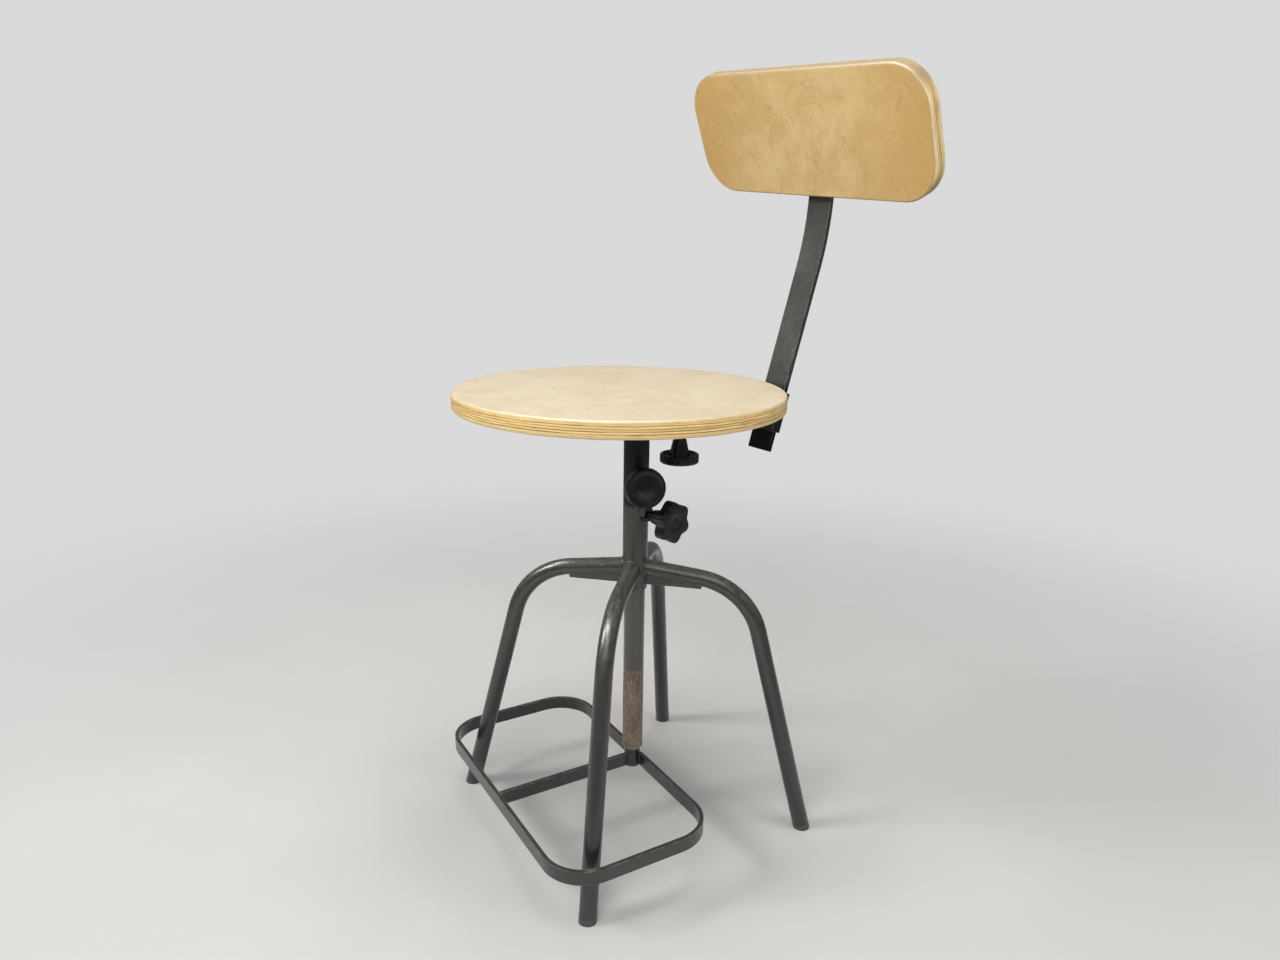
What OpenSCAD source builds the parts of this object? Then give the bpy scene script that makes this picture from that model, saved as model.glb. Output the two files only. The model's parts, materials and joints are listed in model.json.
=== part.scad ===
// Workshop swivel chair: plywood seat and backrest on a four-legged tubular base.
// Millimetres, +Z up, the sitter faces -Y. The origin is the centre of the footprint, on the floor.
// The seat is drawn at its lowest setting, and the backrest against its stop.

/* [Seat] */
// Diameter of the seat board
seat_d = 400; // [340:1:440]
// Thickness of the seat board
seat_t = 20; // [16:1:26]
// Height of the seat's top above the floor at its lowest setting
seat_h = 580; // [560:1:640]
// How far the middle of the seat lies in front of the post
seat_forward = 26; // [0:0.5:40]
// Rounding of the seat board's edges
seat_edge = 3; // [1:0.5:6]

/* [Seat plate and slide] */
// Width of the plate under the seat, from side to side
plate_w = 200; // [160:1:240]
// Depth of the plate under the seat, from front to back
plate_deep = 120; // [90:1:150]
// Thickness of the plate under the seat
plate_t = 4; // [3:0.5:6]
// Distance of the seat screws from the plate's edges
screw_inset = 15; // [10:0.5:20]
// Width of the slide guide
guide_w = 40; // [34:1:50]
// Height of the slide guide
guide_h = 20; // [18:1:26]
// Wall of the slide guide
guide_wall = 2; // [1.5:0.1:3]
// Reach of the guide in front of the post
guide_front = 75; // [60:1:100]
// Reach of the guide behind the post
guide_back = 100; // [90:1:110]
// Clearance round the slide bar in its guide
slide_clear = 0.3; // [0.2:0.05:0.5]
// Wall of the slide bar
slide_wall = 2; // [1.5:0.1:3]
// Reach of the slide bar in front of the post
slide_front = 60; // [40:1:75]

/* [Post and hub] */
// Diameter of the post
post_d = 27; // [25:0.1:30]
// Wall of the post
post_wall = 2.65; // [2:0.05:3.2]
// Height of the post's lower end above the floor
post_low = 90; // [85:1:120]
// Chamfer round the post's lower end
post_chamfer = 0.8; // [0.3:0.1:1.2]
// Wall of the hub tube and of the seat tube
hub_wall = 2.4; // [2:0.1:3.5]
// Height of the hub tube's lower end above the floor
hub_low = 320; // [315:1:324]
// Length of the hub tube
hub_len = 111; // [100:1:120]
// Gap between the hub tube and the seat tube at the lowest setting
hub_gap = 2; // [1:0.5:4]
// Running clearance, on the radius, of every shaft in its bore
fit = 0.1; // [0.03:0.01:0.1]
// Gap that a weld bead fills between two welded pieces
weld_gap = 0.1; // [0.05:0.05:0.3]

/* [Legs] */
// Diameter of the leg tube
leg_d = 21.3; // [18:0.1:25]
// Wall of the leg tube
leg_wall = 2.3; // [1.5:0.1:3]
// Direction of the rear right leg, from +X towards +Y
leg_turn = 42.7; // [40:0.1:50]
// Height at which the middle of a leg meets the hub
leg_top = 347.6; // [342:0.1:360]
// Fall of a leg's upper run, in degrees
leg_slope = 6.5; // [3:0.5:8]
// Radius of a leg's bend, to the middle of the tube
leg_bend = 89; // [70:1:100]
// How much narrower the leg tube is in its bend
bend_thin = 0.12; // [0.1:0.02:0.3]
// Splay of a leg's lower run from the vertical, in degrees
leg_splay = 14.4; // [12:0.1:15.5]
// Distance from the post to the middle of a foot
foot_reach = 232; // [225:1:245]

/* [Gussets and feet] */
// Thickness of a gusset
gusset_t = 4; // [3:0.5:6]
// Depth of a gusset's lower edge below the middle of the leg at the hub
gusset_depth = 22.6; // [20:0.1:25]
// Length of a gusset from the hub
gusset_len = 71; // [50:1:80]
// Length of a foot cap's stem inside the leg
cap_h = 14; // [8:1:25]
// Thickness of a foot cap under the end of the tube
cap_sole = 4.5; // [4:0.5:8]
// Rounding of a foot cap's lower edge
cap_round = 2; // [1:0.5:3]

/* [Footrest] */
// Height of the footrest bar's lower edge above the floor
rest_low = 62.6; // [55:0.1:70]
// Height of the footrest bar, which stands on edge
rest_h = 17; // [14:0.5:25]
// Thickness of the footrest bar
rest_t = 5; // [4:0.5:6]
// Overall width of the footrest
rest_w = 382.8; // [370:0.2:400]
// Reach of the footrest in front of the post
rest_front = 198.4; // [190:0.2:215]
// Outer radius of the footrest's corners
rest_corner = 53; // [40:1:60]
// Turn of the footrest to the sitter's right, in degrees
rest_turn = 4.44; // [0:0.01:6]
// Half the width of the gap where the loop's ends meet the stub
rest_butt = 6; // [5:0.5:7]
// Diameter of the stub that carries the footrest
stub_d = 21.3; // [19:0.1:21.5]
// Wall of the stub
stub_wall = 2.3; // [2:0.1:3]
// Length of the stub inside the post
stub_in = 60; // [40:1:80]

/* [Clamp knobs] */
// Diameter of a clamp stud
stud_d = 10; // [8:0.1:11]
// Gap between a stud's tip and what it clamps, when loose
tip_gap = 0.3; // [0.2:0.1:0.5]
// Width across the flats of a weld nut
nut_af = 17; // [15:0.5:19]
// Height of a weld nut
nut_h = 8; // [6:0.5:10]
// Gap between the round knob's neck and its weld nut
knob_gap = 0.5; // [0.5:0.5:3]
// Diameter of the star knobs, over their lobes
star_d = 53; // [46:0.5:58]
// Thickness of a star knob's head
star_t = 15; // [10:0.5:16]
// Length of a star knob's neck
star_neck = 22; // [16:0.5:24]
// Diameter of a star knob's neck at the head
star_root_d = 25; // [19:0.5:26]
// Depth of the hollows between a star knob's lobes
lobe_depth = 4.8; // [2:0.1:6]
// Number of lobes of a star knob
lobes = 6; // [5:1:7]
// Diameter of the round knob
round_d = 50.4; // [44:0.2:54]
// Thickness of the round knob's head
round_t = 12; // [8:0.5:14]
// Length of the round knob's neck
round_neck = 15.5; // [12:0.5:20]
// Diameter of the round knob's neck at the head
round_root_d = 22; // [19:0.5:26]
// Number of fine flutes round the round knob
flutes = 40; // [30:1:45]
// Depth of a flute
flute_depth = 0.8; // [0.4:0.1:1.2]
// Rounding of a knob's head
head_round = 2.5; // [1:0.5:4]
// Diameter of a knob's neck at the nut
neck_d = 17; // [14:0.5:18]
// Distance of the height clamp below the top of the hub tube
height_clamp_drop = 9; // [8.5:0.5:20]
// Distance of the swivel clamp above the lower end of the seat tube
swivel_clamp_rise = 31; // [20:0.5:60]
// How far the round knob's face lies behind the star knob's head, so that they pass each other
knob_clear = 3; // [3:0.1:6]
// Direction of the height clamp, from +X towards +Y
height_clamp_turn = 9; // [0:0.5:30]
// Direction of the swivel clamp, from +X towards -Y
swivel_clamp_turn = 21.5; // [0:0.5:40]
// Turn of the height knob about its screw, in degrees
height_knob_turn = 5; // [0:1:60]
// Turn of the slide clamp's knob about its screw, in degrees
depth_knob_turn = 13; // [0:1:60]
// Distance of the slide clamp behind the post
depth_clamp_back = 67.7; // [60:0.1:80]
// Length of bare stud between the slide clamp's nut and its knob
depth_clamp_drop = 14.5; // [10:0.5:25]

/* [Upright] */
// Width of the upright bar
bar_w = 40; // [34:0.5:46]
// Thickness of the upright bar
bar_t = 6; // [5:0.5:8]
// Lean of the upright bar, in degrees
bar_lean = 16.8; // [12:0.1:20]
// Distance from the post to the front of the upright, at the level of the slide
bar_behind = 224.7; // [222:0.1:245]
// Length of the upright below the level of the slide
bar_tail = 71; // [60:1:85]
// Straight length of the upright above the level of the slide
bar_straight = 183; // [160:1:210]
// Radius of the upright's bend, on its front face
bar_bend = 391; // [360:1:430]
// Angle of the upright's bend, in degrees
bar_curl = 28; // [26:0.1:30]
// Wall of the upright's socket
socket_wall = 2.5; // [2:0.1:3]
// Free space in the socket in front of the upright
socket_space = 3.7; // [2.5:0.1:5]
// Clearance of the upright at each side of the socket
socket_side = 0.5; // [0.3:0.1:1]
// Height of the socket above the slide bar
socket_above = 3; // [1:0.5:3.5]
// Length of the socket below the level of the slide
socket_below = 43.5; // [40:0.5:50]
// Distance of the socket's clamp screw below the level of the slide
socket_screw_drop = 28; // [26:0.5:32]

/* [Backrest] */
// Width of the backrest board
back_w = 398; // [340:1:420]
// Height of the backrest board
back_h = 161.5; // [140:0.5:180]
// Thickness of the backrest board
back_t = 20; // [16:1:24]
// Radius of the backrest board's corners
back_corner = 51.5; // [30:0.5:65]
// Rounding of the backrest board's edges
back_edge = 3.5; // [1:0.5:5]
// How far the board's middle lies beside the upright, to +X
back_aside = 10.3; // [0:0.1:15]
// Roll of the board in its own plane, +X end down, in degrees
back_roll = 4.5; // [0:0.1:5]
// Distance of the pivot below the upright's top end, as an angle of the bend
pivot_drop = 1.1; // [1:0.1:2.5]
// Diameter of the pivot tube
pivot_d = 14; // [12:0.5:16]
// Distance from the pivot to the back of the board
bracket_off = 21.6; // [20:0.1:26]
// Thickness of the bracket
bracket_t = 3; // [2:0.5:4]
// Width of the bracket's base
bracket_w = 92; // [80:1:110]
// Height of the bracket's base
bracket_h = 44; // [36:1:54]
// Width of the bracket's ears
ear_w = 20; // [16:0.5:24]
// Gap between the upright and each ear
ear_gap = 0.5; // [0.3:0.1:1]
// Gap between the pivot tube and each ear
pivot_side = 0.2; // [0.1:0.05:0.3]
// Gap between the board and the upright at the stop
stop_gap = 0.4; // [0.3:0.1:1]

/* [Fasteners] */
// Diameter of the wood screws
screw_d = 5; // [4:0.5:6]
// Length of a wood screw in the board
screw_len = 12; // [8:1:13]
// Diameter of a wood screw's head
screw_head_d = 9.5; // [8:0.5:11]
// Height of a wood screw's head
screw_head_h = 3; // [2:0.5:4]
// Diameter of the pivot bolt and of the socket's clamp screw
bolt_d = 8; // [6:0.5:9]
// Width across the flats of their heads and nuts
bolt_af = 13; // [11:0.5:15]
// Height of their heads
bolt_head_h = 5.3; // [4:0.1:7]
// Height of their nuts
bolt_nut_h = 6.5; // [5:0.5:8]
// Length of the clamp screw left bare under its head
screw_bare = 5; // [2:0.5:8]

/* [Hidden] */

$fn = 96;
small_fn = 48;
// Overlap of a cutting shape past the face that it cuts
cut = 1;
// Angle by which the leg's bend runs on into each straight run
bend_lap = 0.5;

paint = [0.33, 0.36, 0.34];
bare_steel = [0.62, 0.62, 0.60];
black_plastic = [0.09, 0.09, 0.10];
cap_plastic = [0.16, 0.17, 0.17];
plywood = [0.86, 0.70, 0.47];

// Heights, from the seat down
seat_low = seat_h - seat_t;
plate_low = seat_low - plate_t;
guide_low = plate_low - guide_h;
slide_z = guide_low + guide_h / 2;
slide_w = guide_w - 2 * (guide_wall + slide_clear);
slide_h = guide_h - 2 * (guide_wall + slide_clear);

// Tubes on the post's axis
hub_bore = post_d + 2 * fit;
hub_d = hub_bore + 2 * hub_wall;
hub_top = hub_low + hub_len;
seat_tube_low = hub_top + hub_gap;
post_top = guide_low - slide_clear;
stub_top = post_low + stub_in;

// Clamps
stud_bore = stud_d + 2 * fit;
tube_hole = stud_d + 1;
height_clamp_z = hub_top - height_clamp_drop;
swivel_clamp_z = seat_tube_low + swivel_clamp_rise;
clamp_start = post_d / 2 + tip_gap;
round_neck_start = hub_d / 2 + nut_h + knob_gap;
height_neck_start = round_neck_start + round_neck + round_t + knob_clear - star_neck;
depth_neck_start = slide_clear + guide_wall + nut_h + depth_clamp_drop;

// A leg's middle line in its own radial plane: upper run, bend, lower run
leg_corner_r = (foot_reach - tan(leg_splay) * (leg_top + tan(leg_slope) * hub_d / 2))
    / (1 - tan(leg_splay) * tan(leg_slope));
leg_corner_z = (foot_reach - leg_corner_r) / tan(leg_splay);
leg_bend_angle = 90 - leg_splay - leg_slope;
leg_tangent = leg_bend * tan(leg_bend_angle / 2);
leg_bend_start = [leg_corner_r - leg_tangent * cos(leg_slope), leg_corner_z + leg_tangent * sin(leg_slope)];
leg_bend_centre = leg_bend_start - leg_bend * [sin(leg_slope), cos(leg_slope)];
leg_upper_len = (leg_bend_start[0] - hub_d / 2) / cos(leg_slope);
leg_lower_len = (leg_corner_z / cos(leg_splay)) - leg_tangent;

// The upright in the plane x = 0, as [y, z]: lower straight, then a bend towards the sitter
bar_up = [sin(bar_lean), cos(bar_lean)];
bar_back_dir = [cos(bar_lean), -sin(bar_lean)];
bar_level = [bar_behind, slide_z];
bar_bend_start = bar_level + bar_straight * bar_up;
bar_bend_centre = bar_bend_start - bar_bend * bar_back_dir;
bar_top_turn = bar_curl - bar_lean;

// The socket, measured from the front of the upright, + backwards
socket_rear_in = bar_t + slide_clear;
socket_front_in = -socket_space;
socket_front = socket_front_in - socket_wall;
socket_rear = socket_rear_in + socket_wall;
socket_in_w = bar_w + 2 * socket_side;
socket_out_w = socket_in_w + 2 * socket_wall;
socket_up = (slide_h / 2 + socket_above) / cos(bar_lean);

// The pivot lies in front of the upright, and the board hangs before it
pivot_turn = bar_top_turn - pivot_drop;
pivot = bar_bend_centre + (bar_bend - pivot_d / 2 - weld_gap) * [cos(pivot_turn), sin(pivot_turn)];
ear_in = bar_w / 2 + ear_gap;
ear_out = ear_in + bracket_t;
pivot_len = 2 * (ear_in - pivot_side);

// The board's lower back edge leans on the upright: two sides and the angle between them
stop_across = bracket_off + back_edge;
stop_down = back_h / 2 / cos(back_roll) + (bar_w / 2 - back_aside) * tan(back_roll) - back_edge;
stop_arm = norm([stop_across, stop_down]);
pivot_arm = bar_bend - pivot_d / 2 - weld_gap;
stop_reach = bar_bend - stop_gap - back_edge;
stop_angle = acos((pivot_arm ^ 2 + stop_arm ^ 2 - stop_reach ^ 2) / (2 * pivot_arm * stop_arm));
back_tilt = pivot_turn + stop_angle - atan(stop_down / stop_across);

// Footprint box, which places the origin
back_side = (back_w / 2 - back_corner) * cos(back_roll) + (back_h / 2 - back_corner) * sin(back_roll)
    + back_corner;
origin_x = (back_aside + back_side - seat_d / 2) / 2;
bar_rear = bar_bend_centre[0] + bar_bend + bar_t;
origin_y = (bar_rear - seat_forward - seat_d / 2) / 2;

// Frames

module at_origin() {
    translate([-origin_x, -origin_y, 0]) children();
}

// Draws in the vertical plane through the post: x is the distance from the post, y is the height
module radial_view(turn) {
    rotate([0, 0, turn]) rotate([90, 0, 0]) children();
}

// Draws in the plane x = 0 seen from the side: x is the depth, y is the height
module side_view() {
    rotate([90, 0, 90]) children();
}

// Along the upright: origin on its front face at the level of the slide, x backwards, y up the bar
module bar_frame() {
    side_view() translate(bar_level) rotate([0, 0, -bar_lean]) children();
}

// On the board: origin at the pivot, x away from the sitter, y up the board, z to +X
module board_frame() {
    side_view() translate(pivot) rotate([0, 0, back_tilt]) children();
}

// Along a clamp: +Z runs outwards from the post's axis at the given height and direction
module clamp_frame(z, turn) {
    translate([0, 0, z]) rotate([0, 0, turn]) rotate([0, 90, 0]) children();
}

// Along the slide clamp: +Z runs down from the slide bar's underside
module depth_clamp_frame() {
    translate([0, depth_clamp_back, slide_z - slide_h / 2]) rotate([180, 0, 0]) children();
}

// Shared shapes

module tube(outer, inner, len) {
    difference() {
        cylinder(h = len, d = outer);
        translate([0, 0, -cut]) cylinder(h = len + 2 * cut, d = inner);
    }
}

module hexagon(af, h) {
    cylinder(h = h, d = af / cos(30), $fn = 6);
}

// Half section of a round disc with both outer edges rounded
module disc_section(r, h, edge) {
    square([r - edge, h]);
    translate([0, edge]) square([r, h - 2 * edge]);
    for (y = [edge, h - edge]) translate([r - edge, y]) circle(r = edge, $fn = small_fn);
}

// Half section of a tube with a chamfer round the outside of its lower end
module tube_section(outer, inner, len, chamfer) {
    polygon([[inner / 2, 0], [outer / 2 - chamfer, 0], [outer / 2, chamfer], [outer / 2, len],
             [inner / 2, len]]);
}

module wood_screw() {
    translate([0, 0, -screw_head_h]) cylinder(h = screw_head_h, d = screw_head_d, $fn = small_fn);
    cylinder(h = screw_len, d = screw_d, $fn = small_fn);
}

// Outline of a knob's head: swellings round a circle, with hollows of the given depth between them
function wave(d, depth, count, steps) =
    [for (i = [0 : count * steps - 1])
        let (a = 360 * i / (count * steps))
        (d / 2 - depth * (1 - cos(count * a)) / 2) * [cos(a), sin(a)]];

// How deep a stud reaches into a knob
function stud_end(neck, head) = neck + head / 2;

// A knob along +Z: a conical neck that carries the head given as a child, bored for its stud
module knob(neck, root_d, head) {
    difference() {
        union() {
            cylinder(h = neck, d1 = neck_d, d2 = root_d, $fn = small_fn);
            translate([0, 0, neck]) children();
        }
        translate([0, 0, -cut]) cylinder(h = stud_end(neck, head) + cut, d = stud_d, $fn = small_fn);
    }
}

// Knob with rounded lobes for turning by hand
module star_knob(turn) {
    knob(star_neck, star_root_d, star_t) rotate([0, 0, turn]) intersection() {
        linear_extrude(star_t) polygon(wave(star_d, lobe_depth, lobes, 16));
        rotate_extrude() disc_section(star_d / 2, star_t, head_round);
    }
}

// Round knob with fine flutes round its rim
module round_knob() {
    knob(round_neck, round_root_d, round_t) {
        rotate_extrude() disc_section(round_d / 2 - flute_depth, round_t, head_round);
        translate([0, 0, head_round]) linear_extrude(round_t - 2 * head_round)
            polygon(wave(round_d, flute_depth, flutes, 4));
    }
}

// Base

module hub_tube() {
    at_origin() color(paint) difference() {
        translate([0, 0, hub_low]) tube(hub_d, hub_bore, hub_len);
        clamp_frame(height_clamp_z, height_clamp_turn) cylinder(h = hub_d, d = tube_hole, $fn = small_fn);
    }
}

// The leg's round section swept along its middle line, from the bend down to the foot and in to the hub.
// The bend is a little narrower and laps into both straight runs.
module leg_sweep(d, extra) {
    translate(leg_bend_centre) rotate([0, 0, leg_splay]) {
        rotate([0, 0, -bend_lap]) rotate_extrude(angle = leg_bend_angle + 2 * bend_lap)
            translate([leg_bend, 0]) circle(d = d - bend_thin);
        translate([leg_bend, 0, 0]) rotate([90, 0, 0]) cylinder(h = leg_lower_len - cap_sole + extra, d = d);
        rotate([0, 0, leg_bend_angle]) translate([leg_bend, 0, 0]) rotate([-90, 0, 0])
            cylinder(h = leg_upper_len + hub_d / 2, d = d);
    }
}

module leg(turn) {
    at_origin() color(paint) difference() {
        radial_view(turn) difference() {
            leg_sweep(leg_d, 0);
            leg_sweep(leg_d - 2 * leg_wall, cut);
        }
        translate([0, 0, hub_low]) cylinder(h = hub_len, d = hub_d + 2 * weld_gap);
    }
}

module rear_right_leg() { leg(leg_turn); }
module rear_left_leg() { leg(leg_turn + 90); }
module front_left_leg() { leg(leg_turn + 180); }
module front_right_leg() { leg(leg_turn + 270); }

// Upright web under a leg's upper run, its top edge fitted to the tube
module gusset(turn) {
    at_origin() color(paint) difference() {
        radial_view(turn) difference() {
            translate([0, leg_top - gusset_depth, -gusset_t / 2])
                cube([hub_d / 2 + gusset_len, gusset_depth - gusset_len * tan(leg_slope), gusset_t]);
            leg_sweep(leg_d + 2 * weld_gap, 0);
        }
        cylinder(h = hub_low + hub_len, d = hub_d + 2 * weld_gap);
    }
}

module rear_right_gusset() { gusset(leg_turn); }
module rear_left_gusset() { gusset(leg_turn + 90); }
module front_left_gusset() { gusset(leg_turn + 180); }
module front_right_gusset() { gusset(leg_turn + 270); }

// Half section of a foot cap along its leg: a sole as wide as the tube and a stem inside it
module cap_section() {
    low = -leg_d / 2 * tan(leg_splay);
    shoulder = cap_sole - fit;
    translate([0, low]) square([leg_d / 2 - cap_round, shoulder - low]);
    translate([0, low + cap_round]) square([leg_d / 2, shoulder - low - cap_round]);
    translate([leg_d / 2 - cap_round, low + cap_round]) circle(r = cap_round, $fn = small_fn);
    square([leg_d / 2 - leg_wall - fit, shoulder + cap_h]);
}

// Plug in the end of a leg, cut flat where it stands on the floor
module foot_cap(turn) {
    at_origin() color(cap_plastic) difference() {
        radial_view(turn) translate([foot_reach, 0]) rotate([0, 0, leg_splay]) rotate([-90, 0, 0])
            rotate_extrude() cap_section();
        rotate([0, 0, turn]) translate([foot_reach - leg_d, -leg_d, -2 * leg_d]) cube(2 * leg_d);
    }
}

module rear_right_foot_cap() { foot_cap(leg_turn); }
module rear_left_foot_cap() { foot_cap(leg_turn + 90); }
module front_left_foot_cap() { foot_cap(leg_turn + 180); }
module front_right_foot_cap() { foot_cap(leg_turn + 270); }

// Weld nut on the outside of a round tube, its inner end fitted to the tube
module tube_nut(z, turn) {
    at_origin() color(paint) difference() {
        clamp_frame(z, turn) difference() {
            rotate([0, 0, 30]) hexagon(nut_af, hub_d / 2 + nut_h);
            translate([0, 0, -cut]) cylinder(h = hub_d / 2 + nut_h + 2 * cut, d = stud_bore, $fn = small_fn);
        }
        translate([0, 0, z - nut_af]) cylinder(h = 2 * nut_af, d = hub_d + 2 * weld_gap);
    }
}

module height_clamp_nut() { tube_nut(height_clamp_z, height_clamp_turn); }
module swivel_clamp_nut() { tube_nut(swivel_clamp_z, -swivel_clamp_turn); }

// Post and footrest

module post_tube() {
    at_origin() color(paint) translate([0, 0, post_low])
        rotate_extrude() tube_section(post_d, post_d - 2 * post_wall, post_top - post_low, post_chamfer);
}

module footrest_stub() {
    at_origin() color(paint) translate([0, 0, rest_low])
        tube(stub_d, stub_d - 2 * stub_wall, stub_top - rest_low);
}

// The footrest is turned a little on the post and stands on edge
module rest_frame() {
    rotate([0, 0, -rest_turn]) translate([0, 0, rest_low]) children();
}

module stub_cutter() {
    translate([0, 0, -cut]) cylinder(h = rest_h + 2 * cut, d = stub_d + 2 * weld_gap);
}

// Flat bar bent on edge round four corners, with its ends against the stub
module footrest_loop() {
    side = rest_w / 2;
    back = stub_d / 2;
    at_origin() color(paint) rest_frame() difference() {
        union() {
            for (s = [-1, 1]) {
                translate([s * side - (s + 1) / 2 * rest_t, rest_corner - rest_front, 0])
                    cube([rest_t, rest_front + back - 2 * rest_corner, rest_h]);
                for (end = [0, 1]) translate([s * (side - rest_corner),
                                              end == 0 ? rest_corner - rest_front : back - rest_corner, 0])
                    rotate([0, 0, s > 0 ? (end == 0 ? -90 : 0) : (end == 0 ? 180 : 90)])
                        rotate_extrude(angle = 90) translate([rest_corner - rest_t, 0]) square([rest_t, rest_h]);
            }
            for (y = [-rest_front, back - rest_t]) translate([rest_corner - side, y, 0])
                cube([rest_w - 2 * rest_corner, rest_t, rest_h]);
        }
        stub_cutter();
        translate([-rest_butt, 0, -cut]) cube([2 * rest_butt, back + cut, rest_h + 2 * cut]);
    }
}

// Middle bar from the stub to the front of the loop
module footrest_spoke() {
    at_origin() color(paint) rest_frame() difference() {
        translate([-rest_t / 2, rest_t - rest_front, 0]) cube([rest_t, rest_front - rest_t, rest_h]);
        stub_cutter();
    }
}

// Seat

module seat_tube() {
    at_origin() color(paint) difference() {
        translate([0, 0, seat_tube_low]) tube(hub_d, hub_bore, guide_low - seat_tube_low);
        clamp_frame(swivel_clamp_z, -swivel_clamp_turn) cylinder(h = hub_d, d = tube_hole, $fn = small_fn);
    }
}

// Rectangular tube under the plate, open at both ends, with a hole for the slide clamp
module slide_guide() {
    len = guide_front + guide_back;
    at_origin() color(paint) difference() {
        translate([-guide_w / 2, -guide_front, guide_low]) cube([guide_w, len, guide_h]);
        translate([guide_wall - guide_w / 2, -guide_front - cut, guide_low + guide_wall])
            cube([guide_w - 2 * guide_wall, len + 2 * cut, guide_h - 2 * guide_wall]);
        depth_clamp_frame() cylinder(h = guide_h, d = tube_hole, $fn = small_fn);
    }
}

module depth_clamp_nut() {
    at_origin() color(paint) translate([0, depth_clamp_back, guide_low - nut_h]) difference() {
        hexagon(nut_af, nut_h);
        translate([0, 0, -cut]) cylinder(h = nut_h + 2 * cut, d = stud_bore, $fn = small_fn);
    }
}

// Places something at each of the four seat screws, under the seat board
module at_seat_screws() {
    for (x = [-1, 1], y = [-1, 1])
        translate([x * (plate_w / 2 - screw_inset), y * (plate_deep / 2 - screw_inset) - seat_forward, 0])
            children();
}

module seat_plate() {
    at_origin() color(paint) difference() {
        translate([-plate_w / 2, -plate_deep / 2 - seat_forward, plate_low]) cube([plate_w, plate_deep, plate_t]);
        at_seat_screws() translate([0, 0, plate_low - cut])
            cylinder(h = plate_t + 2 * cut, d = screw_d + 2 * fit, $fn = small_fn);
    }
}

module seat_board() {
    at_origin() color(plywood) difference() {
        translate([0, -seat_forward, seat_low]) rotate_extrude() disc_section(seat_d / 2, seat_t, seat_edge);
        at_seat_screws() translate([0, 0, seat_low - cut])
            cylinder(h = screw_len - plate_t + 2 * cut, d = screw_d + 2 * fit, $fn = small_fn);
    }
}

module seat_screws() {
    at_origin() color(bare_steel) at_seat_screws() translate([0, 0, plate_low]) wood_screw();
}

// Slide and socket

module socket_block(inset, past) {
    bar_frame() translate([socket_front + inset, -socket_below - past, inset - socket_out_w / 2])
        cube([socket_rear - socket_front - 2 * inset, socket_below + socket_up + 2 * past,
              socket_out_w - 2 * inset]);
}

module slide_bar() {
    len = slide_front + bar_behind;
    at_origin() color(paint) difference() {
        translate([-slide_w / 2, -slide_front, slide_z - slide_h / 2]) cube([slide_w, len, slide_h]);
        translate([slide_wall - slide_w / 2, -slide_front - cut, slide_z - slide_h / 2 + slide_wall])
            cube([slide_w - 2 * slide_wall, len + 2 * cut, slide_h - 2 * slide_wall]);
        socket_block(0, guide_h);
    }
}

module upright_socket() {
    at_origin() color(paint) difference() {
        socket_block(0, 0);
        socket_block(socket_wall, cut);
        bar_frame() translate([socket_front - cut, -socket_screw_drop, 0]) rotate([0, 90, 0])
            cylinder(h = socket_wall + 2 * cut, d = bolt_d + 1, $fn = small_fn);
    }
}

// Along the socket's clamp screw: +Z runs from the front of the upright towards the sitter
module socket_screw_frame() {
    bar_frame() translate([0, -socket_screw_drop, 0]) rotate([0, -90, 0]) children();
}

module socket_nut() {
    at_origin() color(paint) socket_screw_frame() translate([0, 0, -socket_front]) difference() {
        hexagon(bolt_af, bolt_nut_h);
        translate([0, 0, -cut]) cylinder(h = bolt_nut_h + 2 * cut, d = bolt_d + 2 * fit, $fn = small_fn);
    }
}

module socket_screw() {
    under_head = bolt_nut_h - socket_front + screw_bare;
    at_origin() color(bare_steel) socket_screw_frame() {
        translate([0, 0, tip_gap]) cylinder(h = under_head - tip_gap, d = bolt_d, $fn = small_fn);
        translate([0, 0, under_head]) hexagon(bolt_af, bolt_head_h);
    }
}

// Upright

// Flat bar, straight through the socket and bent towards the sitter above
module upright_bar() {
    at_origin() color(paint) bar_frame() {
        translate([0, -bar_tail, -bar_w / 2]) cube([bar_t, bar_tail + bar_straight, bar_w]);
        translate([-bar_bend, bar_straight, 0]) rotate_extrude(angle = bar_curl)
            translate([bar_bend, -bar_w / 2]) square([bar_t, bar_w]);
    }
}

module pivot_tube() {
    at_origin() color(paint) side_view() translate(pivot) translate([0, 0, -pivot_len / 2])
        tube(pivot_d, bolt_d + 2 * fit, pivot_len, $fn = small_fn);
}

// Backrest

// Rounded board, flat front and back, all edges rounded
module board_shape() {
    hull() for (x = [-1, 1], y = [-1, 1])
        translate([x * (back_w / 2 - back_corner), y * (back_h / 2 - back_corner), 0])
            rotate_extrude($fn = 36) disc_section(back_corner, back_t, back_edge, $fn = 24);
}

// Places something at each of the four bracket screws, +Z into the board
module at_back_screws() {
    for (x = [-1, 1], y = [-1, 1])
        translate([0, y * (bracket_h / 2 - screw_inset / 2), x * (bracket_w / 2 - screw_inset / 2)])
            rotate([0, -90, 0]) children();
}

module back_board() {
    at_origin() color(plywood) board_frame() difference() {
        translate([-bracket_off, 0, back_aside]) rotate([back_roll, 0, 0]) rotate([0, -90, 0]) board_shape();
        translate([-bracket_off, 0, 0]) at_back_screws() translate([0, 0, -cut])
            cylinder(h = screw_len - bracket_t + 2 * cut, d = screw_d + 2 * fit, $fn = small_fn);
    }
}

module ear() {
    linear_extrude(bracket_t) {
        circle(d = ear_w, $fn = small_fn);
        translate([-bracket_off + bracket_t / 2, -ear_w / 2]) square([bracket_off - bracket_t / 2, ear_w]);
    }
}

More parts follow.
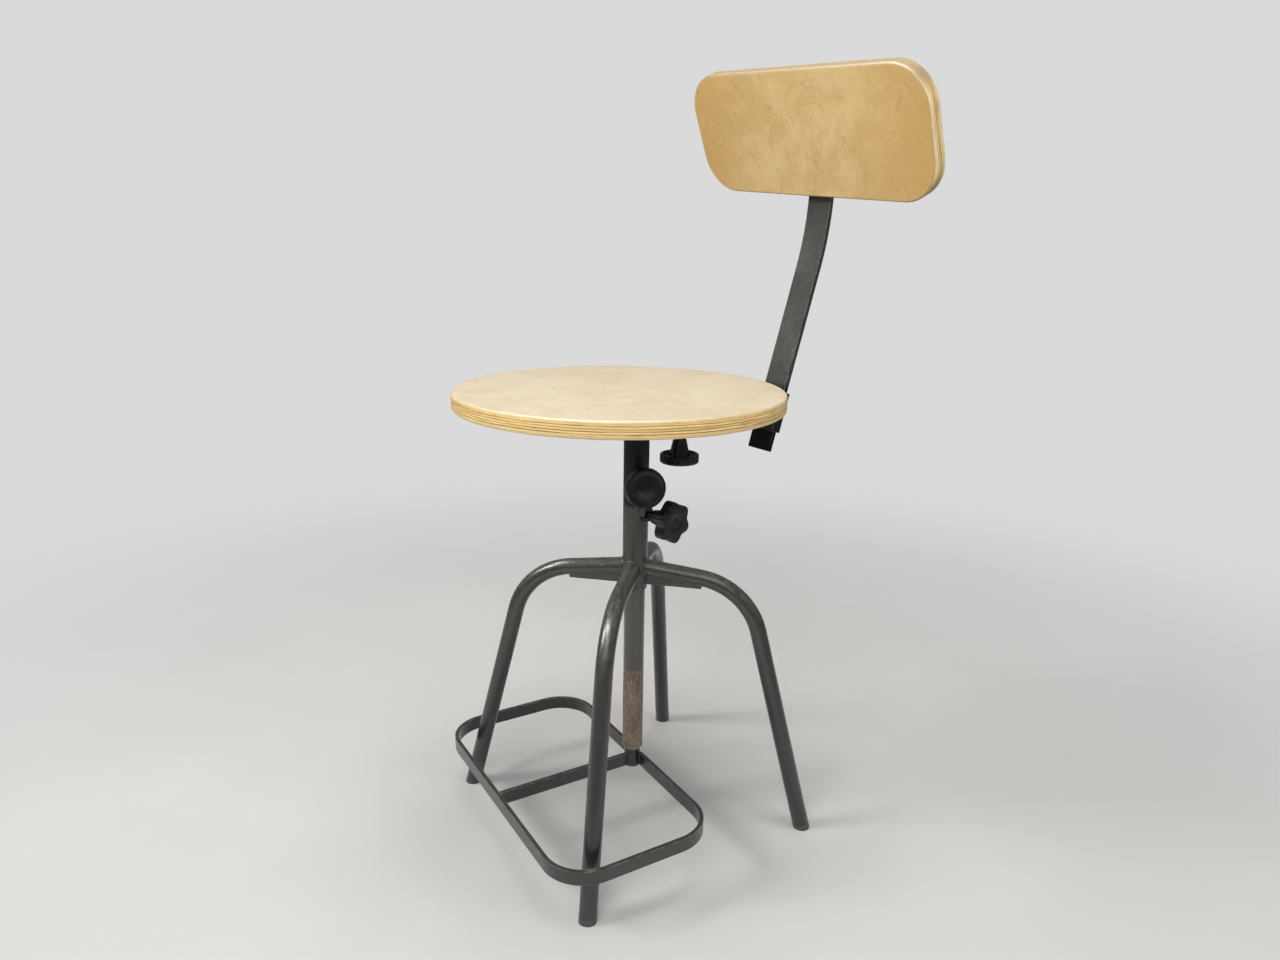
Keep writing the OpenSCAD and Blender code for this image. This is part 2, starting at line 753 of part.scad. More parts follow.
// Base plate on the board, with an ear at each side of the upright
module back_bracket() {
    at_origin() color(paint) board_frame() difference() {
        union() {
            translate([-bracket_off, -bracket_h / 2, -bracket_w / 2]) cube([bracket_t, bracket_h, bracket_w]);
            translate([0, 0, ear_in]) ear();
            translate([0, 0, -ear_out]) ear();
        }
        translate([0, 0, -ear_out - cut])
            cylinder(h = 2 * (ear_out + cut), d = bolt_d + 2 * fit, $fn = small_fn);
        translate([-bracket_off + bracket_t, 0, 0]) at_back_screws() translate([0, 0, -cut])
            cylinder(h = bracket_t + 2 * cut, d = screw_d + 2 * fit, $fn = small_fn);
    }
}

module back_screws() {
    at_origin() color(bare_steel) board_frame() translate([-bracket_off + bracket_t, 0, 0])
        at_back_screws() wood_screw();
}

module pivot_bolt() {
    at_origin() color(bare_steel) board_frame() {
        translate([0, 0, -ear_out]) cylinder(h = 2 * ear_out + bolt_nut_h + cut, d = bolt_d, $fn = small_fn);
        translate([0, 0, -ear_out - bolt_head_h]) hexagon(bolt_af, bolt_head_h);
    }
}

module pivot_nut() {
    at_origin() color(bare_steel) board_frame() translate([0, 0, ear_out]) difference() {
        hexagon(bolt_af, bolt_nut_h);
        translate([0, 0, -cut]) cylinder(h = bolt_nut_h + 2 * cut, d = bolt_d + 2 * fit, $fn = small_fn);
    }
}

// Clamp knobs

module side_stud(z, turn, end) {
    at_origin() color(bare_steel) clamp_frame(z, turn) translate([0, 0, clamp_start])
        cylinder(h = end - clamp_start, d = stud_d, $fn = small_fn);
}

module height_knob() {
    at_origin() color(black_plastic) clamp_frame(height_clamp_z, height_clamp_turn)
        translate([0, 0, height_neck_start]) star_knob(height_knob_turn);
}

module height_stud() {
    side_stud(height_clamp_z, height_clamp_turn, height_neck_start + stud_end(star_neck, star_t));
}

module swivel_knob() {
    at_origin() color(black_plastic) clamp_frame(swivel_clamp_z, -swivel_clamp_turn)
        translate([0, 0, round_neck_start]) round_knob();
}

module swivel_stud() {
    side_stud(swivel_clamp_z, -swivel_clamp_turn, round_neck_start + stud_end(round_neck, round_t));
}

module depth_knob() {
    at_origin() color(black_plastic) depth_clamp_frame() translate([0, 0, depth_neck_start])
        star_knob(depth_knob_turn);
}

module depth_stud() {
    at_origin() color(bare_steel) depth_clamp_frame() translate([0, 0, tip_gap])
        cylinder(h = depth_neck_start + stud_end(star_neck, star_t) - tip_gap, d = stud_d, $fn = small_fn);
}

hub_tube();
rear_right_leg();
rear_left_leg();
front_left_leg();
front_right_leg();
rear_right_gusset();
rear_left_gusset();
front_left_gusset();
front_right_gusset();
rear_right_foot_cap();
rear_left_foot_cap();
front_left_foot_cap();
front_right_foot_cap();
height_clamp_nut();
post_tube();
footrest_stub();
footrest_loop();
footrest_spoke();
seat_tube();
swivel_clamp_nut();
slide_guide();
depth_clamp_nut();
seat_plate();
seat_board();
seat_screws();
slide_bar();
upright_socket();
socket_nut();
socket_screw();
upright_bar();
pivot_tube();
back_board();
back_bracket();
back_screws();
pivot_bolt();
pivot_nut();
height_knob();
height_stud();
swivel_knob();
swivel_stud();
depth_knob();
depth_stud();
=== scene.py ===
"""Looks of the workshop swivel chair, built round its CAD frame. Metres, +Z up, the sitter faces -Y."""
import json
import math

import bmesh
import bpy
from mathutils import Matrix, Vector
from mathutils import noise as field


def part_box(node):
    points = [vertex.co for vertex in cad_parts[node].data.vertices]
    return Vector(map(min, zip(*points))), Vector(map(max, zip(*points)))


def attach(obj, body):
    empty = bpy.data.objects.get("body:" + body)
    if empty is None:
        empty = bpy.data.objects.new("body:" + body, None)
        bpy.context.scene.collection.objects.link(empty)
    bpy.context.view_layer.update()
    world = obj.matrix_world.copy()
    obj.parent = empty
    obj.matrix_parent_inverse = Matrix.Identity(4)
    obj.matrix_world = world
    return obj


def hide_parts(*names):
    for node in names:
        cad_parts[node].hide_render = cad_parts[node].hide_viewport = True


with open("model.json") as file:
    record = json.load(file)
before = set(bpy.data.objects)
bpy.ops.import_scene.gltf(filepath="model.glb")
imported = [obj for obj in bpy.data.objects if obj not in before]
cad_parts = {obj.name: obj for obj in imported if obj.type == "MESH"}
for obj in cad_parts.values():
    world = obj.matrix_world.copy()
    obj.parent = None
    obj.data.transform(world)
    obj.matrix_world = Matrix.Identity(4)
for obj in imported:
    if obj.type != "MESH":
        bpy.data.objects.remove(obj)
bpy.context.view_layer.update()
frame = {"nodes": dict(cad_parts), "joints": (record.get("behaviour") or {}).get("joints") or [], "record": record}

# Camera fitted to the photograph: picture width and focal length in pixels, film width in millimetres,
# place from where the hub's axis meets the floor, and turns in degrees, one after the other
PHOTO_W = 1280
FOCAL_PX = 908.76
SENSOR_MM = 36.0
CAMERA_PLACE = (0.89845, -0.63600, 0.75745)
CAMERA_TURNS = (("Z", 57.918), ("X", 74.966), ("Y", -3.344))

# Sizes that the solids also have. Legs: tube radius, height of the tube's middle at the hub's wall, slope,
# and turn of the first leg; gussets: thickness and height of the lower edge
LEG_NAMES = ("rear_right", "rear_left", "front_left", "front_right")
LEG_R = 0.01065
LEG_TOP = 0.3476
LEG_SLOPE = math.radians(6.5)
LEG_TURN = math.radians(42.7)
GUSSET_T = 0.004
GUSSET_LOW = 0.325

# Footrest: thickness of its bars, turn, distance of its front from the axis, and radius of the stub
REST_T = 0.005
REST_TURN = math.radians(-4.44)
REST_FRONT = 0.1984
STUB_R = 0.01065

# Boards: thickness and rounding of both, and the backrest's width, height, corner radius and roll
SEAT_T = 0.020
BACK_T = 0.020
SEAT_EDGE = 0.003
BACK_EDGE = 0.0035
BACK_W = 0.398
BACK_H = 0.1615
BACK_CORNER = 0.0515
BACK_ROLL = math.radians(4.5)

# Star knob of the height clamp: radius, thickness and rounding of its head, length and last radius of its
# neck, depth and number of its lobes, and the turn of a lobe
STAR_R = 0.0265
STAR_T = 0.015
STAR_EDGE = 0.0026
STAR_NECK = 0.022
STAR_ROOT_R = 0.0125
LOBE_DEPTH = 0.0048
LOBES = 6
HEIGHT_KNOB_TURN = math.radians(5)

# Round knobs of the swivel and depth clamps: radius, thickness and rounding of their heads, length and last
# radius of the swivel knob's neck, and depth and number of the flutes
ROUND_R = 0.0252
ROUND_T = 0.012
ROUND_EDGE = 0.0022
ROUND_NECK = 0.0155
ROUND_ROOT_R = 0.011
FLUTE_DEPTH = 0.0005
FLUTES = 40

# Radii and dips of the faces' shallow shapes: a flat star, and a round knob dished inside its rim
STAR_FACE = ((0.0100, 0.0), (0.0094, 0.0002), (0.0050, 0.0002))
ROUND_FACE = ((0.0215, 0.0), (0.0208, 0.0003), (0.0202, 0.0010), (0.0190, 0.0012), (0.0080, 0.0012),
              (0.0074, 0.0009), (0.0030, 0.0008))

# Radius and depth of the hollow behind a round knob's rim, and the rounding of its lips
ROUND_HOLLOW = (0.0216, 0.0040)
HOLLOW_LIP = 0.0004

# Any knob: first radius of its neck, which is smaller on the depth knob, hole for the screw, chamfer at the
# neck's start, share of its taper that the neck has before its root's roll, radius of that roll, and shares
# of the way from the rounded rim to the first shape in the face
NECK_R = 0.0085
DEPTH_NECK_R = 0.0072
SCREW_HOLE_R = 0.0052
NECK_CHAMFER = 0.0006
NECK_TAPER = 0.96
ROOT_ROLL = 0.0016
FACE_SHARES = (0.35, 0.7, 1.0)

# Steps of the curves
SEAT_STEPS = 240
CORNER_STEPS = 14
SIDE_STEPS = 16
EDGE_STEPS = 7
WALL_STEPS = 6
STAR_STEPS = 240
FLUTED_STEPS = 480
NECK_STEPS = 4
RIM_STEPS = 6
BEAD_SIDES = 10
HUB_BEAD_STEPS = 12
LEG_BEAD_STEPS = 30
REST_BEAD_STEPS = 18
LEG_RING_STEPS = 64
TUBE_RING_STEPS = 96

# Radii of the weld beads
LEG_BEAD_R = 0.0021
GUSSET_HUB_BEAD_R = 0.0013
GUSSET_LEG_BEAD_R = 0.0010
REST_BEAD_R = 0.0016
LOOP_BACK_BEAD_R = 0.0017
SEAT_TUBE_BEAD_R = 0.0020
STUB_BEAD_R = 0.0010

# Where a bead's middle lies: distance from the walls that it joins, and how far it stops short of a bar's end
BEAD_OFF = 0.0004
BEAD_END = 0.0006

# Beads of a gusset: rise above its lower edge and length up the hub, start off the hub's wall and length
# along the leg, and there the distances from the gusset's side and below the leg
GUSSET_BEAD_RISE = 0.0005
GUSSET_BEAD_H = 0.0115
GUSSET_BEAD_START = 0.002
GUSSET_BEAD_LEN = 0.064
GUSSET_SIDE_OFF = 0.0002
GUSSET_TOP_OFF = 0.0003

# Beads of the footrest's loop at the stub: beside the corner and into it at the sides, and place from the
# middle and depth at the back
LOOP_SIDE_OFF = 0.0006
LOOP_SIDE_IN = 0.0003
LOOP_BACK_X = 0.0052
LOOP_BACK_IN = 0.0012

# Round beads: distances from the seat tube and below the guide, and from the stub and below the post
SEAT_TUBE_OFF = 0.0005
GUIDE_OFF = 0.0005
STUB_OFF = 0.0003
POST_OFF = 0.0002

# Surface of a bead: strength and spacing of its ripples, strength and rate of its lumps, what turns a bead's
# radius and number of points into lumps of its own, its share of the radius at both ends, and the rate at
# which it swells from there
RIPPLE = 0.09
RIPPLE_STEP = 0.0021
LUMP = 0.18
LUMP_RATE = 160
LUMP_OF_RADIUS = 900
LUMP_OF_COUNT = 0.37
BEAD_START = 0.35
BEAD_SWELL = 6

# Heights of the colours: edge of the post's paint and half its softness, its bright lower rim, the
# upright's painted shade under the seat, where painted shade low down turns into painted light higher up, and
# where the painted light on faces that look up grows stronger upwards
PAINT_EDGE_Z = 0.205
PAINT_EDGE_SOFT = 0.0006
POST_RIM_Z = (0.0915, 0.0905)
BAR_SHADE_Z = (0.558, 0.572)
PAINT_SHADE_TO_LIGHT_Z = (0.14, 0.34)
PAINT_TOP_LIGHT_Z = (0.10, 0.28)

# Colours of the enamel, of the painted light on its upward faces, and of the bare steel that shows at worn edges
PAINT_DARK = (0.019, 0.0205, 0.0175)
PAINT_LIGHT = (0.030, 0.032, 0.027)
PAINT_TOP_LIGHT = (0.150, 0.160, 0.138)
PAINT_GRIME = (0.011, 0.011, 0.010)
SPECK_PALE = (0.120, 0.120, 0.112)
SPECK_DARK = (0.014, 0.015, 0.014)
WORN_EDGE = (0.36, 0.355, 0.33)
BLACK = (0.0, 0.0, 0.0)

# Share of the full tone that the enamel under painted shade keeps, and the gloss of the full one
SHADED_DEPTH = 0.15
GLOSS = {"Specular_IOR_Level": 0.75, "Coat_Weight": 0.5, "Coat_Roughness": 0.21}

# Colours of the post: tint of its enamel, and the brown steel below the paint with its pale, dark and
# bright places
POST_TINT = (0.098, 0.086, 0.070)
RUST_DARK = (0.115, 0.078, 0.055)
RUST_LIGHT = (0.205, 0.150, 0.112)
RUST_PALE = (0.30, 0.25, 0.21)
RUST_DEEP = (0.060, 0.036, 0.024)
POST_RIM = (0.48, 0.45, 0.41)

# Two tones each of the zinc-plated steel, the black steel of the studs, the knobs and the foot caps
ZINC_DARK = (0.36, 0.36, 0.35)
ZINC_LIGHT = (0.52, 0.52, 0.50)
STUD_DARK = (0.020, 0.020, 0.022)
STUD_LIGHT = (0.045, 0.045, 0.046)
KNOB_DARK = (0.0045, 0.0050, 0.0065)
KNOB_LIGHT = (0.009, 0.0098, 0.0125)
CAP_DARK = (0.045, 0.047, 0.046)
CAP_LIGHT = (0.070, 0.072, 0.070)

# Birch plywood: number of plies, and colours of marks in the face, of the edge's plies along and across
# their grain, of its pale plies, streaks, glue and voids, and of the darker edges that face along Y
PLIES = 7
FACE_MARK = (0.24, 0.13, 0.06)
PLY_ALONG = (1.0, 0.74, 0.31)
PLY_ACROSS = (0.74, 0.42, 0.12)
PLY_PALE = (1.0, 0.80, 0.43)
PLY_STREAK = (0.38, 0.205, 0.070)
GLUE = (0.075, 0.034, 0.013)
VOID = (0.05, 0.026, 0.014)
Y_EDGE_DARK = (0.32, 0.23, 0.125)

# Each board: thickness, the face's pale and deep colours, its warm colour and the distance from the middle
# where that sets in, stretch of the grain, strength of the face's figure, depth and colour of the pale ply
# along the rounded edges, how far edges that face along Y have darkened, and whether the outline is round
# Both boards are the same birch; the seat's face colours are paler than the backrest's as painted light on a face
# lit from above
SEAT_BIRCH = {
    "thick": SEAT_T,
    "pale": (0.69, 0.60, 0.458),
    "deep": (0.645, 0.535, 0.382),
    "warm": (0.645, 0.525, 0.35),
    "warm_reach": 0.5,
    "flow": (1, 6, 1),
    "figure": 0.45,
    "rim_t": 0.0034,
    "rim": (0.82, 0.61, 0.31),
    "y_edge_darkening": 0.0,
    "round": True,
}
BACK_BIRCH = {
    "thick": BACK_T,
    "pale": (0.75, 0.55, 0.27),
    "deep": (0.66, 0.46, 0.20),
    "warm": (0.62, 0.40, 0.15),
    "warm_reach": BACK_W / 2,
    "flow": (6, 1, 1),
    "figure": 0.85,
    "rim_t": 0.0056,
    "rim": (0.95, 0.77, 0.50),
    "y_edge_darkening": 0.85,
    "round": False,
}

# Finish of each slot, and of the nodes that differ from their slot: painted parts whose enamel is darkened as
# painted shade, those in the seat's shade and the height clamp's nut, and the clamps' studs
SLOT_FINISH = {"paint": "enamel", "steel": "zinc_steel", "knob_plastic": "knob_black",
               "cap_plastic": "cap_grey", "plywood": "seat_birch"}
SHADED_PARTS = ("seat_tube", "swivel_clamp_nut", "height_clamp_nut", "slide_guide", "depth_clamp_nut",
                "seat_plate", "slide_bar", "upright_socket")
STUDS = ("height_stud", "swivel_stud", "depth_stud")
NODE_FINISH = {"post_tube": "post_enamel_and_rust", "upright_bar": "bar_enamel",
               **{name: "seat_shade_painted_enamel" for name in SHADED_PARTS}, **{name: "black_steel" for name in STUDS}}

# Stage: radius and steps of the floor, the distances between which it fades away, its two tones, the
# background, and the colour and strength of the ambient light
FLOOR_R = 4.0
FLOOR_STEPS = 96
FLOOR_FADE = (0.5, 1.9)
FLOOR_DARK = (0.615, 0.615, 0.62)
FLOOR_LIGHT = (0.64, 0.64, 0.645)
BACKGROUND = (0.70, 0.70, 0.70)
AMBIENT = (0.62, 0.63, 0.65)
AMBIENT_STRENGTH = 0.25

# Colour of the lamps, and for each its name, place, target, width, power in watts, whether it lights matt
# surfaces, and whether gloss mirrors it
LAMP_COLOUR = (1.0, 0.98, 0.93)
LAMPS = (
    ("key", (-0.9, -2.0, 1.9), (0, 0, 0.5), 0.7, 30, True, True),
    ("front", (1.5, -1.9, 1.4), (0, 0, 0.6), 1.6, 34, True, False),
    ("side", (1.9, 1.1, 1.3), (0, 0, 0.6), 1.4, 15, True, False),
    ("top", (0.1, -0.1, 2.6), (0, 0, 0.4), 1.2, 28, True, True),
    ("fill", (-1.7, 1.7, 1.4), (0, 0, 0.6), 1.6, 9, True, False),
    ("sheen", (-0.1, -0.5, 2.3), (0, 0, 0.3), 1.7, 150, False, True),
    ("glow", (1.3, -1.0, 2.0), (0, 0, 0.3), 1.6, 12, False, True),
)

# The two sides of a bar or plate that has a bead on each
SIDES = ((1, "a"), (-1, "b"))

UP = Vector((0, 0, 1))
hub_lo, hub_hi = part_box("hub_tube")
AXIS = (hub_lo + hub_hi) / 2
AXIS.z = 0
HUB_R = (hub_hi.x - hub_lo.x) / 2
joint_of = {j["name"]: j for j in frame["joints"]}


def make_camera():
    """Camera fitted to the photograph."""
    data = bpy.data.cameras.new("camera")
    data.sensor_width = SENSOR_MM
    data.lens = FOCAL_PX / PHOTO_W * SENSOR_MM
    cam = bpy.data.objects.new("camera", data)
    turn = Matrix.Identity(4)
    for axis, degrees in CAMERA_TURNS:
        turn = turn @ Matrix.Rotation(math.radians(degrees), 4, axis)
    cam.matrix_world = Matrix.Translation(Vector(CAMERA_PLACE) + AXIS) @ turn
    bpy.context.scene.collection.objects.link(cam)
    bpy.context.scene.camera = cam


# Shader graphs

class Graph:
    """The node tree of a material or world, with short ways to add to it."""

    def __init__(self, owner, output):
        self.owner = owner
        self.owner.use_nodes = True
        self.tree = self.owner.node_tree
        self.tree.nodes.clear()
        self.out = self.tree.nodes.new(output)

    def add(self, kind, settings=None, **inputs):
        made = self.tree.nodes.new(kind)
        for key, value in (settings or {}).items():
            setattr(made, key, value)
        for key, value in inputs.items():
            self.feed(made.inputs[key.replace("_", " ")], value)
        return made

    def feed(self, socket, value):
        if isinstance(value, bpy.types.NodeSocket):
            self.tree.links.new(value, socket)
        elif isinstance(value, tuple) and len(value) == 3 and socket.type == "RGBA":
            socket.default_value = (*value, 1)
        else:
            socket.default_value = value

    def math(self, operation, a, b=0.0):
        made = self.add("ShaderNodeMath", {"operation": operation})
        for socket, value in zip(made.inputs, (a, b)):
            self.feed(socket, value)
        return made.outputs[0]

    def plus(self, a, b):
        return self.math("ADD", a, b)

    def minus(self, a, b):
        return self.math("SUBTRACT", a, b)

    def times(self, a, b):
        return self.math("MULTIPLY", a, b)

    def positive(self, a):
        return self.math("ABSOLUTE", a)

    def length(self, a, b):
        """Length of the vector (a, b)."""
        return self.math("SQRT", self.plus(self.times(a, a), self.times(b, b)))

    def mix(self, factor, a, b, blend="MIX"):
        made = self.add("ShaderNodeMix", {"data_type": "RGBA", "blend_type": blend})
        for socket, value in zip((made.inputs[0], made.inputs[6], made.inputs[7]), (factor, a, b)):
            self.feed(socket, value)
        return made.outputs[2]

    def span(self, value, low, high, to_low=0.0, to_high=1.0):
        """Maps low..high smoothly to to_low..to_high, and holds the ends."""
        made = self.add("ShaderNodeMapRange", {"interpolation_type": "SMOOTHSTEP"})
        for socket, number in zip(made.inputs, (value, low, high, to_low, to_high)):
            self.feed(socket, number)
        return made.outputs[0]

    def coords(self, scale=(1, 1, 1)):
        place = self.add("ShaderNodeTexCoord").outputs["Object"]
        return self.add("ShaderNodeMapping", Vector=place, Scale=scale).outputs[0]

    def normal(self):
        return self.add("ShaderNodeTexCoord").outputs["Normal"]

    def noise(self, vector, scale, detail=3.0, roughness=0.55, distortion=0.0):
        return self.add("ShaderNodeTexNoise", Vector=vector, Scale=scale, Detail=detail, Roughness=roughness,
                        Distortion=distortion).outputs[0]

    def axis(self, vector, index):
        return self.add("ShaderNodeSeparateXYZ", Vector=vector).outputs[index]

    def bump(self, height, distance, strength):
        return self.add("ShaderNodeBump", Height=height, Distance=distance, Strength=strength).outputs[0]

    def edges(self, radius, low, high):
        """1 on sharp edges and 0 on flat surfaces, from how far a rounded normal turns away."""
        rounded = self.add("ShaderNodeBevel", {"samples": 4}, Radius=radius).outputs[0]
        true = self.add("ShaderNodeNewGeometry").outputs["Normal"]
        agree = self.add("ShaderNodeVectorMath", {"operation": "DOT_PRODUCT"})
        self.feed(agree.inputs[0], rounded)
        self.feed(agree.inputs[1], true)
        return self.span(agree.outputs["Value"], high, low)

    def thread(self, value, half_width):
        """1 along the thin lines where a pattern crosses its middle value."""
        return self.span(self.positive(self.minus(value, 0.5)), half_width, 0.2 * half_width)

    def blend(self, factor, a, b):
        """Mixes the shaders of two nodes and gives the result to the output."""
        both = self.add("ShaderNodeMixShader", Fac=factor)
        self.tree.links.new(a.outputs[0], both.inputs[1])
        self.tree.links.new(b.outputs[0], both.inputs[2])
        self.tree.links.new(both.outputs[0], self.out.inputs["Surface"])

    def surface(self, **inputs):
        """Gives a Principled shader to the output, and returns the material."""
        shader = self.add("ShaderNodeBsdfPrincipled", **inputs)
        self.tree.links.new(shader.outputs[0], self.out.inputs["Surface"])
        return self.owner


def material_graph(name):
    return Graph(bpy.data.materials.new(name), "ShaderNodeOutputMaterial")


def scaled(colour, factor):
    return tuple(factor * v for v in colour)


def painted(graph, coords, depth=1.0):
    """Colour, roughness and bump of the old grey-green enamel, with painted shade low down and painted light
    higher up and where it faces up, and worn on its edges; depth, a number or socket, darkens its tone as painted
    shade."""
    height = graph.axis(coords, 2)
    broad = graph.noise(coords, 11, 3)
    speckle = graph.noise(coords, 620, 3, 0.7)
    colour = graph.mix(graph.span(broad, 0.3, 0.7), PAINT_DARK, PAINT_LIGHT)
    # Painted shade low down and painted light higher up
    colour = graph.mix(1.0, colour, graph.span(height, *PAINT_SHADE_TO_LIGHT_Z, 0.35, 1.35), "MULTIPLY")

    # Painted light from above, in patches where it faces up, less so low down
    mottle = graph.span(graph.noise(coords, 130, 5, 0.7), 0.35, 0.65, 0.30, 0.90)
    top_light = graph.times(graph.span(graph.axis(graph.normal(), 2), 0.10, 0.85), mottle)
    top_light = graph.times(top_light, graph.span(height, *PAINT_TOP_LIGHT_Z, 0.3, 1))
    colour = graph.mix(top_light, colour, PAINT_TOP_LIGHT)

    # Grime, pale specks and dark specks
    grime = graph.span(graph.noise(coords, 190, 5, 0.7), 0.48, 0.66, 0, 0.6)
    colour = graph.mix(grime, colour, PAINT_GRIME)
    colour = graph.mix(graph.span(speckle, 0.58, 0.74, 0, 0.45), colour, SPECK_PALE)
    colour = graph.mix(graph.span(speckle, 0.42, 0.30, 0, 0.5), colour, SPECK_DARK)
    # Painted shade: a depth below 1 darkens the tone towards black
    colour = graph.mix(graph.minus(1.0, depth), colour, BLACK)

    # Bare steel along parts of the edges and in rare chips
    worn = graph.times(graph.edges(0.0013, 0.88, 0.985), graph.span(graph.noise(coords, 90, 4), 0.40, 0.60))
    chip = graph.times(graph.span(graph.noise(coords, 75, 5, 0.65), 0.70, 0.735), 0.6)
    worn = graph.math("MAXIMUM", graph.times(worn, 0.7), chip)
    colour = graph.mix(worn, colour, WORN_EDGE)

    rough = graph.plus(graph.span(broad, 0.3, 0.75, 0.28, 0.38), graph.times(worn, 0.18))
    relief = graph.plus(graph.noise(coords, 260, 3), graph.times(speckle, 0.5))
    return colour, rough, graph.bump(relief, 0.00014, 0.45)


def paint_material(name, depth):
    """Enamel of one tone; a depth below 1 darkens it as painted shade and makes it less glossy too."""
    graph = material_graph(name)
    colour, rough, normal = painted(graph, graph.coords(), depth)
    gloss = {**GLOSS, "Specular_IOR_Level": GLOSS["Specular_IOR_Level"] * (0.45 + 0.55 * depth),
             "Coat_Weight": GLOSS["Coat_Weight"] * (0.2 + 0.8 * depth)}
    return graph.surface(Base_Color=colour, Roughness=rough, Normal=normal, **gloss)


def bar_material():
    """The upright: enamel with painted shade under the seat, where it is less glossy too."""
    graph = material_graph("bar_enamel")
    coords = graph.coords()
    # Painted shade under the seat
    depth = graph.span(graph.axis(coords, 2), *BAR_SHADE_Z, SHADED_DEPTH, 1.0)
    colour, rough, normal = painted(graph, coords, depth)
    gloss = {**GLOSS, "Specular_IOR_Level": graph.times(depth, GLOSS["Specular_IOR_Level"]),
             "Coat_Weight": graph.times(depth, GLOSS["Coat_Weight"])}
    return graph.surface(Base_Color=colour, Roughness=rough, Normal=normal, **gloss)


def post_material():
    """The post: tinted enamel above the paint's edge, brown steel below it."""
    graph = material_graph("post_enamel_and_rust")
    coords = graph.coords()
    height = graph.axis(coords, 2)
    colour, rough, normal = painted(graph, coords)
    colour = graph.mix(0.4, colour, POST_TINT)
    wobble = graph.times(graph.minus(graph.noise(coords, 40, 2), 0.5), 0.003)
    bare = graph.span(graph.plus(height, wobble),
                      PAINT_EDGE_Z + PAINT_EDGE_SOFT, PAINT_EDGE_Z - PAINT_EDGE_SOFT)

    # Steel: streaks along the post, pale and dark spots, and a bright rim at its lower end
    long = graph.coords((1, 1, 0.35))
    rust = graph.mix(graph.span(graph.noise(long, 90, 5, 0.65), 0.35, 0.65), RUST_DARK, RUST_LIGHT)
    rust = graph.mix(graph.span(graph.noise(long, 420, 3), 0.56, 0.72), rust, RUST_PALE)
    rust = graph.mix(graph.span(graph.noise(coords, 160, 4), 0.62, 0.72), rust, RUST_DEEP)
    rust = graph.mix(graph.span(height, *POST_RIM_Z), rust, POST_RIM)

    colour = graph.mix(bare, colour, rust)
    rough = graph.plus(rough, graph.times(bare, 0.22))
    gloss = {**GLOSS, "Coat_Weight": graph.span(bare, 0, 1, GLOSS["Coat_Weight"], 0)}
    return graph.surface(Base_Color=colour, Roughness=rough, Normal=normal, **gloss)


def steel_material(name, dark, light):
    graph = material_graph(name)
    coords = graph.coords()
    colour = graph.mix(graph.noise(coords, 180, 4), dark, light)
    rough = graph.span(graph.noise(coords, 700, 2), 0.3, 0.7, 0.28, 0.42)
    return graph.surface(Base_Color=colour, Metallic=1.0, Roughness=rough,
                         Normal=graph.bump(graph.noise(coords, 900, 2), 0.00005, 0.3))


def plastic_material(name, dark, light, smooth, rough):
    """Moulded plastic between two colours and two roughnesses, with a fine grain."""
    graph = material_graph(name)
    coords = graph.coords()
    colour = graph.mix(graph.span(graph.noise(coords, 60, 4), 0.35, 0.7), dark, light)
    polish = graph.span(graph.noise(coords, 90, 3), 0.3, 0.7, smooth, rough)
    return graph.surface(Base_Color=colour, Roughness=polish,
                         Normal=graph.bump(graph.noise(coords, 1500, 2), 0.00005, 0.35))


def veneer(graph, coords, look):
    """Colour of a plywood face, and its grain."""
    pale = look["pale"]
    deep = look["deep"]
    figure = look["figure"]
    flow = graph.coords(look["flow"])
    grain = graph.noise(flow, 70, 5, 0.65, 0.3)

    # Soft clouds, warmer towards both ends
    face = graph.mix(graph.span(graph.noise(coords, 17, 4, 0.6, 0.8), 0.36, 0.66), pale, deep)
    out = graph.math("DIVIDE", graph.positive(graph.axis(coords, 0)), look["warm_reach"])
    warmth = graph.span(graph.plus(out, graph.times(graph.noise(coords, 6, 3), 0.6)), 0.55, 1.35)
    face = graph.mix(warmth, face, look["warm"])

    # Mottle, and flecks along the grain
    mottle = graph.noise(coords, 52, 5, 0.7, 1.0)
    face = graph.mix(graph.span(mottle, 0.50, 0.68, 0, 0.42 * figure), face, scaled(deep, 0.74))
    face = graph.mix(graph.span(mottle, 0.46, 0.30, 0, 0.40 * figure), face, scaled(pale, 1.10))
    face = graph.mix(graph.span(grain, 0.46, 0.70, 0, 0.20), face, scaled(deep, 0.74))
    fleck = graph.span(graph.noise(flow, 420, 2, 0.6), 0.58, 0.74, 0, 0.16)
    face = graph.mix(fleck, face, scaled(deep, 0.62))

    # Thin curls, and rare small marks
    curl = graph.times(graph.thread(graph.noise(coords, 13, 3, 0.5, 2.2), 0.012),
                       graph.span(graph.noise(coords, 20, 2), 0.47, 0.60))
    face = graph.mix(graph.times(curl, 0.42 * figure), face, scaled(deep, 0.60))
    mark = graph.times(graph.span(graph.noise(graph.coords((1, 2.5, 1)), 70, 2), 0.745, 0.775), 0.4)
    return graph.mix(mark, face, FACE_MARK), grain


def facing_y(graph, coords, is_round):
    """How far the edge faces along Y, from 0 to 1: from the place on a round board, else from the normal."""
    if not is_round:
        return graph.positive(graph.axis(graph.normal(), 1))
    x, y = graph.axis(coords, 0), graph.axis(coords, 1)
    return graph.positive(graph.math("DIVIDE", y, graph.math("MAXIMUM", graph.length(x, y), 0.001)))


